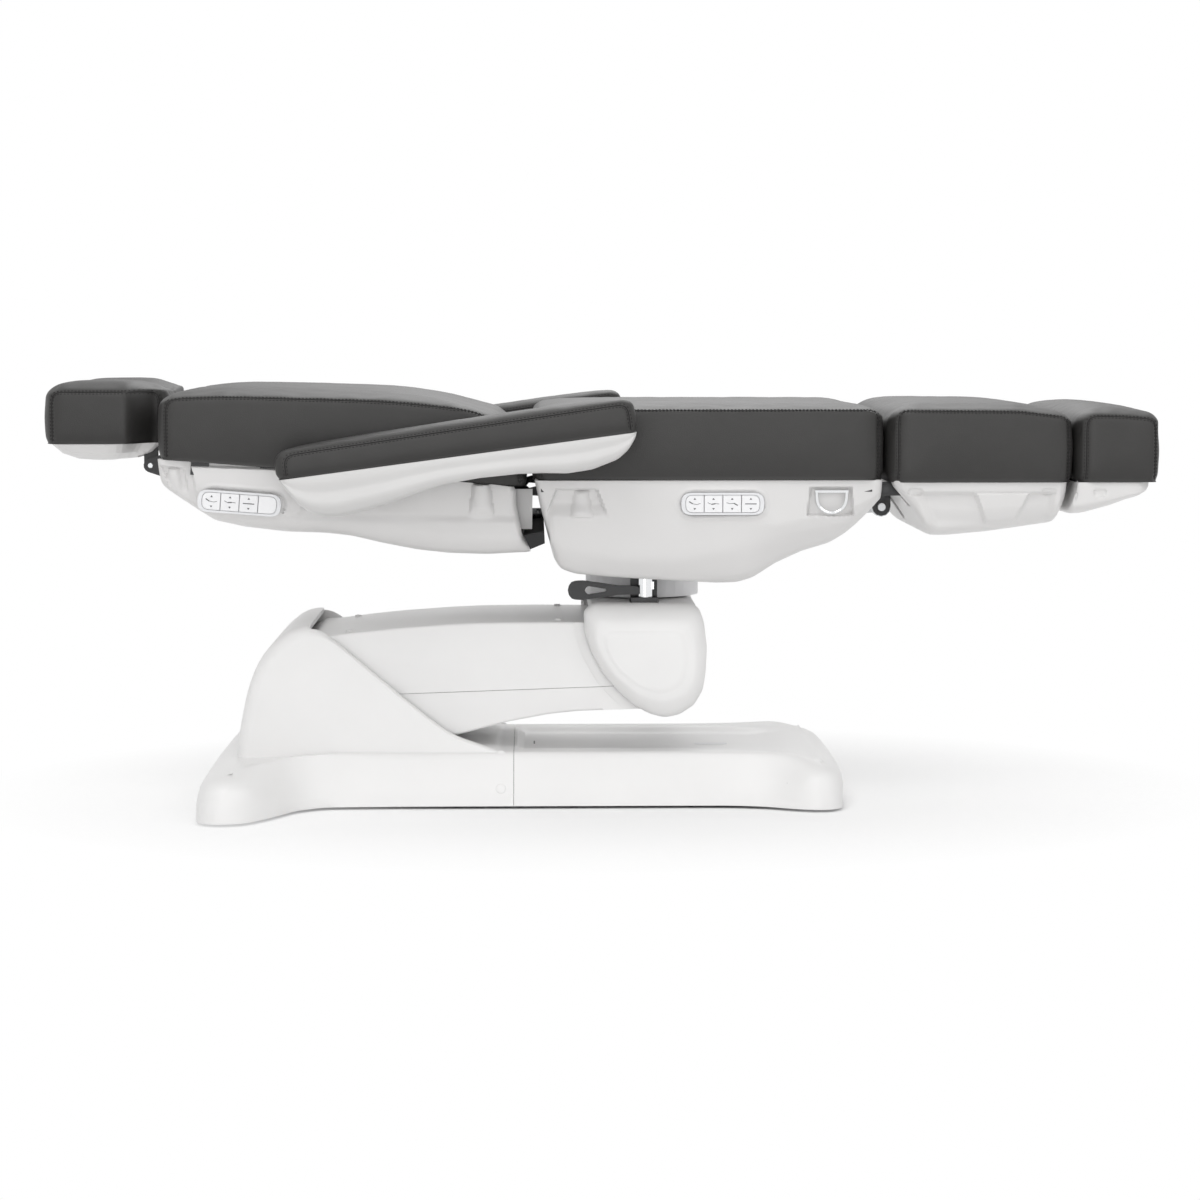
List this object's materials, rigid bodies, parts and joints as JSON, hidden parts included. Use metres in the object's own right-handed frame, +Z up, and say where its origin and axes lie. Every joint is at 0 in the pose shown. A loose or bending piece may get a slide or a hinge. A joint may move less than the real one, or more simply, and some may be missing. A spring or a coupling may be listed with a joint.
{
  "type": "spa treatment table",
  "caption": "Powered treatment table: five padded sections on moulded shells over a lift arm, swivel and low spreading base, with folding back, leg, head and arm rests.",
  "frame": {"origin": "on the floor under the middle of the bed's box", "axes": "+X from the head end to the foot end, +Y from the near side to the far side, +Z up"},
  "size_m": [1.881, 0.824, 0.7273],
  "materials": {
    "white_shell": "smooth moulded, satin gloss",
    "grey_upholstery": "soft grained vinyl, low gloss",
    "white_steel": "powder coat, smooth",
    "black_steel": "powder coat, fine texture",
    "black_plastic": "moulded, fine grain",
    "bright_steel": "ground bar",
    "chrome": "polished plate",
    "silver_plastic": "painted silver, satin",
    "white_keys": "printed membrane, satin",
    "motor_grey": "glass-filled housing, matt"
  },
  "bodies": {
    "base": {"base_rear_cover": "white_shell", "base_front_cover": "white_shell", "base_frame": "black_steel", "lift_pivot_shaft": "bright_steel"},
    "lift": {"lift_arm": "white_steel", "arm_upper_cover": "white_shell", "arm_lower_cover": "white_shell", "knee_pivot_shaft": "bright_steel"},
    "link": {"parallel_link": "black_steel"},
    "lift_rod": {"lift_jack_rod": "bright_steel"},
    "lift_tube": {"lift_jack_tube": "motor_grey"},
    "knuckle": {"knuckle_cover_near": "white_shell", "knuckle_cover_far": "white_shell", "knuckle_frame": "white_steel", "swivel_clamp": "black_steel"},
    "lock": {"lock_lever": "black_plastic", "lock_cam": "chrome"},
    "swivel": {"swivel_carriage": "white_steel", "tilt_pivot_shaft": "bright_steel"},
    "tilt_rod": {"tilt_jack_rod": "bright_steel"},
    "tilt_tube": {"tilt_jack_tube": "motor_grey"},
    "seat": {"seat_shell": "white_shell", "seat_frame": "black_steel", "seat_cushion": "grey_upholstery", "seat_keypad": "silver_plastic"},
    "seat_back_key": {"seat_back_key": "white_keys"},
    "seat_tilt_key": {"seat_tilt_key": "white_keys"},
    "seat_leg_key": {"seat_leg_key": "white_keys"},
    "seat_lift_key": {"seat_lift_key": "white_keys"},
    "tie_ring": {"tie_ring": "chrome"},
    "back": {"back_shell": "white_shell", "back_frame": "black_steel", "back_cushion": "grey_upholstery", "back_keypad": "silver_plastic", "armrest_pivot_near": "bright_steel", "armrest_pivot_far": "bright_steel"},
    "back_back_key": {"back_back_key": "white_keys"},
    "back_lift_key": {"back_lift_key": "white_keys"},
    "back_leg_key": {"back_leg_key": "white_keys"},
    "back_reset_key": {"back_reset_key": "white_keys"},
    "armrest_near": {"armrest_shell_near": "white_shell", "armrest_cushion_near": "grey_upholstery"},
    "armrest_far": {"armrest_shell_far": "white_shell", "armrest_cushion_far": "grey_upholstery"},
    "back_rod": {"back_jack_rod": "bright_steel"},
    "back_tube": {"back_jack_tube": "motor_grey"},
    "head_slide": {"head_slide": "black_steel", "head_hinge_pin": "bright_steel"},
    "head": {"head_shell": "white_shell", "head_frame": "black_steel", "head_cushion": "grey_upholstery"},
    "leg": {"leg_shell": "white_shell", "leg_frame": "black_steel", "leg_cushion": "grey_upholstery", "leg_clevis_pin": "bright_steel"},
    "leg_rod": {"leg_jack_rod": "bright_steel"},
    "leg_tube": {"leg_jack_tube": "motor_grey"},
    "foot": {"foot_shell": "white_shell", "foot_frame": "bright_steel", "foot_cushion": "grey_upholstery"}
  },
  "joints": [
    {"name": "arm_lift", "type": "hinge", "parent": "base", "child": "lift", "pos_m": [-0.48093, 0, 0.24402], "axis": [0, -1, 0], "range_deg": [0, 32]},
    {"name": "knuckle_level", "type": "hinge", "parent": "lift", "child": "knuckle", "pos_m": [0.072, 0, 0.253], "axis": [0, -1, 0], "range_deg": [-33, 1]},
    {"name": "link_swing", "type": "hinge", "parent": "base", "child": "link", "pos_m": [-0.45093, 0, 0.19602], "axis": [0, -1, 0], "range_deg": [-1, 33]},
    {"name": "lift_rod_swing", "type": "hinge", "parent": "lift", "child": "lift_rod", "pos_m": [-0.5322, 0, 0.06523], "axis": [0, -1, 0], "range_deg": [-33, 1]},
    {"name": "lift_tube_slide", "type": "slide", "parent": "lift_rod", "child": "lift_tube", "axis": [1, 0, 0], "range_m": [-0.11, 0.001]},
    {"name": "swivel_turn", "type": "hinge", "parent": "knuckle", "child": "swivel", "pos_m": [0.081, 0, 0], "axis": [0, 0, 1], "range_deg": [-120, 120]},
    {"name": "lock_turn", "type": "hinge", "parent": "knuckle", "child": "lock", "pos_m": [0.082, -0.14, 0], "axis": [0, 0, 1], "range_deg": [0, 100]},
    {"name": "seat_tilt", "type": "hinge", "parent": "swivel", "child": "seat", "pos_m": [0.081, 0, 0.43], "axis": [0, -1, 0], "range_deg": [0, 10]},
    {"name": "tilt_rod_swing", "type": "hinge", "parent": "swivel", "child": "tilt_rod", "pos_m": [0.081, 0, 0.508], "axis": [0, -1, 0], "range_deg": [-1, 11]},
    {"name": "tilt_tube_slide", "type": "slide", "parent": "tilt_rod", "child": "tilt_tube", "axis": [1, 0, 0], "range_m": [-0.016, 0.001]},
    {"name": "back_recline", "type": "hinge", "parent": "seat", "child": "back", "pos_m": [-0.206, 0, 0.6], "axis": [0, 1, 0], "range_deg": [0, 75]},
    {"name": "back_rod_swing", "type": "hinge", "parent": "back", "child": "back_rod", "pos_m": [-0.141, 0.11, 0.487], "axis": [0, 1, 0], "range_deg": [-79, 1]},
    {"name": "back_tube_slide", "type": "slide", "parent": "back_rod", "child": "back_tube", "axis": [0.9998, 0, -0.0189], "range_m": [-0.001, 0.165]},
    {"name": "armrest_near_swing", "type": "hinge", "parent": "back", "child": "armrest_near", "pos_m": [-0.44, 0, 0.548], "axis": [0, 1, 0], "range_deg": [-70, 1]},
    {"name": "armrest_far_swing", "type": "hinge", "parent": "back", "child": "armrest_far", "pos_m": [-0.44, 0, 0.548], "axis": [0, 1, 0], "range_deg": [-70, 1]},
    {"name": "head_extend", "type": "slide", "parent": "back", "child": "head_slide", "axis": [-0.9971, 0, 0.0758], "range_m": [0, 0.1]},
    {"name": "head_tilt", "type": "hinge", "parent": "head_slide", "child": "head", "pos_m": [-0.772, 0, 0.585], "axis": [0, -1, 0], "range_deg": [0, 40]},
    {"name": "leg_lower", "type": "hinge", "parent": "seat", "child": "leg", "pos_m": [0.482, 0, 0.55], "axis": [0, 1, 0], "range_deg": [0, 80]},
    {"name": "leg_rod_swing", "type": "hinge", "parent": "leg", "child": "leg_rod", "pos_m": [0.506, 0, 0.505], "axis": [0, 1, 0], "range_deg": [-85, 1]},
    {"name": "leg_tube_slide", "type": "slide", "parent": "leg_rod", "child": "leg_tube", "axis": [-0.9974, 0, -0.0721], "range_m": [-0.07, 0.001]},
    {"name": "foot_extend", "type": "slide", "parent": "leg", "child": "foot", "axis": [1, 0, 0], "range_m": [0, 0.15]},
    {"name": "tie_ring_swing", "type": "hinge", "parent": "seat", "child": "tie_ring", "pos_m": [0.3885, -0.291, 0.548], "axis": [-1, 0, 0], "range_deg": [0, 80]},
    {"name": "seat_back_key_rock", "type": "hinge", "parent": "seat", "child": "seat_back_key", "pos_m": [0.15812, -0.298, 0.528], "axis": [1, 0, 0], "range_deg": [-3, 3], "stiffness_Nm_per_rad": 0.6},
    {"name": "seat_tilt_key_rock", "type": "hinge", "parent": "seat", "child": "seat_tilt_key", "pos_m": [0.18937, -0.298, 0.528], "axis": [1, 0, 0], "range_deg": [-3, 3], "stiffness_Nm_per_rad": 0.6},
    {"name": "seat_leg_key_rock", "type": "hinge", "parent": "seat", "child": "seat_leg_key", "pos_m": [0.22062, -0.298, 0.528], "axis": [1, 0, 0], "range_deg": [-3, 3], "stiffness_Nm_per_rad": 0.6},
    {"name": "seat_lift_key_rock", "type": "hinge", "parent": "seat", "child": "seat_lift_key", "pos_m": [0.25188, -0.298, 0.528], "axis": [1, 0, 0], "range_deg": [-3, 3], "stiffness_Nm_per_rad": 0.6},
    {"name": "back_back_key_rock", "type": "hinge", "parent": "back", "child": "back_back_key", "pos_m": [-0.64807, -0.2985, 0.53399], "axis": [0.9971, 0, -0.0758], "range_deg": [-3, 3], "stiffness_Nm_per_rad": 0.6},
    {"name": "back_lift_key_rock", "type": "hinge", "parent": "back", "child": "back_lift_key", "pos_m": [-0.61691, -0.2985, 0.53162], "axis": [0.9971, 0, -0.0758], "range_deg": [-3, 3], "stiffness_Nm_per_rad": 0.6},
    {"name": "back_leg_key_rock", "type": "hinge", "parent": "back", "child": "back_leg_key", "pos_m": [-0.58575, -0.2985, 0.52925], "axis": [0.9971, 0, -0.0758], "range_deg": [-3, 3], "stiffness_Nm_per_rad": 0.6},
    {"name": "back_reset_key_press", "type": "slide", "parent": "back", "child": "back_reset_key", "axis": [0, 1, 0], "range_m": [0, 0.0008], "stiffness_N_per_m": 600}
  ],
  "couplings": [
    {"joint": "knuckle_level", "follows": "arm_lift", "ratio": -1},
    {"joint": "link_swing", "follows": "arm_lift", "ratio": 1},
    {"joint": "lift_rod_swing", "follows": "arm_lift", "ratio": -1},
    {"joint": "lift_tube_slide", "follows": "arm_lift", "m_per_rad": -0.18359},
    {"joint": "tilt_rod_swing", "follows": "seat_tilt", "ratio": 1.0288},
    {"joint": "tilt_tube_slide", "follows": "seat_tilt", "m_per_rad": -0.077588},
    {"joint": "back_rod_swing", "follows": "back_recline", "ratio": -0.97401},
    {"joint": "back_tube_slide", "follows": "back_recline", "m_per_rad": 0.1207},
    {"joint": "armrest_near_swing", "follows": "back_recline", "ratio": -0.9},
    {"joint": "armrest_far_swing", "follows": "back_recline", "ratio": -0.9},
    {"joint": "leg_rod_swing", "follows": "leg_lower", "ratio": -1.0457},
    {"joint": "leg_tube_slide", "follows": "leg_lower", "m_per_rad": -0.04471}
  ]
}
